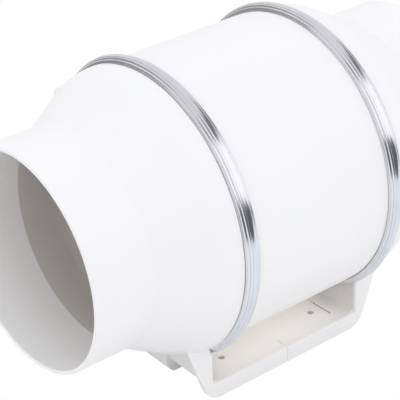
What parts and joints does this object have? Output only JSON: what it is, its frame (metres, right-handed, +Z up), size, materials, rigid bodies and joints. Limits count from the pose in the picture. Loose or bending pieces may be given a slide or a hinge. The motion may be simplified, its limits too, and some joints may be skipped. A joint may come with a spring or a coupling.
{
  "type": "inline duct fan",
  "caption": "Mixed-flow inline duct fan: white round casing between two coned spigot collars, held by bright clamp bands, on a flat two-part foot.",
  "frame": {"origin": "on the mounting plane of the foot, directly below the middle of the fan", "axes": "+X along the air flow from inlet to outlet, +Z up from the mounting plane, +Y towards the terminal box"},
  "size_m": [0.321, 0.2246, 0.2194],
  "materials": {
    "white_shell": "satin white moulding with a soft sheen",
    "white_foot": "slightly warmer white, fine moulded texture",
    "bright_band": "bright rolled steel with fine lines along the band",
    "plated_steel": "zinc-plated steel",
    "bearing_steel": "ground steel",
    "core_steel": "stacked dark laminations",
    "copper_wire": "enamelled copper",
    "grey_moulding": "warm light grey moulding",
    "black_rubber": "matt black rubber",
    "black_nylon": "black nylon",
    "terminal_moulding": "cream moulding",
    "capacitor_case": "dark grey case"
  },
  "bodies": {
    "fan_body": {"inlet_collar": "white_shell", "outlet_collar": "white_shell", "motor_casing": "white_shell", "inlet_gasket": "black_rubber", "outlet_gasket": "black_rubber", "front_band": "bright_band", "rear_band": "bright_band", "front_latch_bracket": "plated_steel", "front_latch_hook": "plated_steel", "front_latch_pin": "plated_steel", "rear_latch_bracket": "plated_steel", "rear_latch_hook": "plated_steel", "rear_latch_pin": "plated_steel", "inlet_ring": "grey_moulding", "motor_front_shield": "plated_steel", "motor_can": "plated_steel", "front_bearing": "bearing_steel", "rear_bearing": "bearing_steel", "stator_core": "core_steel", "front_winding": "copper_wire", "rear_winding": "copper_wire", "vane_ring": "grey_moulding", "tail_cone": "grey_moulding", "motor_screw_1": "plated_steel", "motor_screw_2": "plated_steel", "motor_screw_3": "plated_steel", "lead_tube": "black_rubber", "terminal_box": "white_shell", "lid_seal": "black_rubber", "terminal_lid": "white_shell", "lid_screw_1": "plated_steel", "lid_screw_2": "plated_steel", "lid_screw_3": "plated_steel", "lid_screw_4": "plated_steel", "box_screw_1": "plated_steel", "box_screw_2": "plated_steel", "terminal_block": "terminal_moulding", "capacitor": "capacitor_case", "gland_body": "black_nylon", "gland_locknut": "black_nylon", "gland_nut": "black_nylon", "gland_seal": "black_rubber", "inlet_foot": "white_foot", "outlet_foot": "white_foot"},
    "rotor": {"impeller": "grey_moulding", "impeller_nut": "plated_steel", "hub_cap": "grey_moulding", "shaft": "plated_steel", "rotor_core": "core_steel"},
    "front_lever": {"front_latch_lever": "plated_steel"},
    "front_link": {"front_latch_link": "plated_steel"},
    "rear_lever": {"rear_latch_lever": "plated_steel"},
    "rear_link": {"rear_latch_link": "plated_steel"}
  },
  "joints": [
    {"name": "impeller_spin", "type": "hinge", "parent": "fan_body", "child": "rotor", "pos_m": [0, 0, 0.118], "axis": [1, 0, 0], "continuous": true},
    {"name": "front_lever_swing", "type": "hinge", "parent": "fan_body", "child": "front_lever", "pos_m": [-0.0603, 0.08936, 0.05717], "axis": [1, 0, 0], "range_deg": [0, 150]},
    {"name": "front_link_swing", "type": "hinge", "parent": "front_lever", "child": "front_link", "pos_m": [-0.0603, 0.08474, 0.05118], "axis": [1, 0, 0], "range_deg": [-135, 0]},
    {"name": "rear_lever_swing", "type": "hinge", "parent": "fan_body", "child": "rear_lever", "pos_m": [0.0603, 0.08936, 0.05717], "axis": [1, 0, 0], "range_deg": [0, 150]},
    {"name": "rear_link_swing", "type": "hinge", "parent": "rear_lever", "child": "rear_link", "pos_m": [0.0603, 0.08474, 0.05118], "axis": [1, 0, 0], "range_deg": [-135, 0]}
  ],
  "couplings": [
    {"joint": "front_link_swing", "follows": "front_lever_swing", "ratio": -0.9},
    {"joint": "rear_link_swing", "follows": "rear_lever_swing", "ratio": -0.9}
  ]
}
